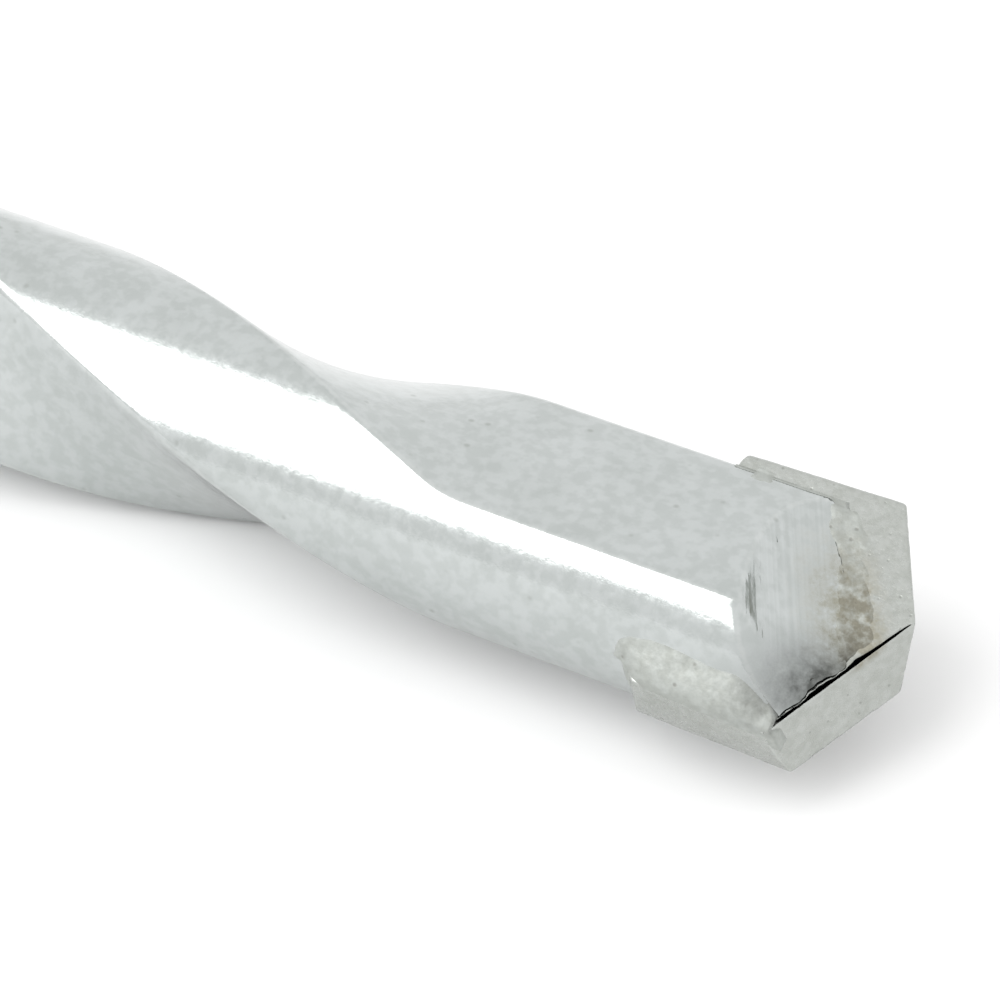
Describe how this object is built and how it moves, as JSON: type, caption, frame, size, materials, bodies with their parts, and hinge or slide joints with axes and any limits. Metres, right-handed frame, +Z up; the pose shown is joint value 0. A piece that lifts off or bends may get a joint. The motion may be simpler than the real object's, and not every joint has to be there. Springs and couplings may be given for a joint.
{
  "type": "masonry drill bit",
  "caption": "Masonry drill bit with a plain round shank, a twisted two-flute steel body and a hard tip plate brazed across its head.",
  "frame": {"origin": "on the drill's axis, at the middle of the plain shank", "axes": "+X along the axis towards the tip, +Z up as the drill lies on its side"},
  "size_m": [0.12, 0.01, 0.009],
  "materials": {
    "body_steel": "blasted and bright plated, satin",
    "tip_carbide": "ground hard metal, matt",
    "braze": "dull, heat stained"
  },
  "bodies": {
    "root": {"steel_body": "body_steel", "carbide_tip": "tip_carbide", "braze_film": "braze"}
  },
  "joints": []
}
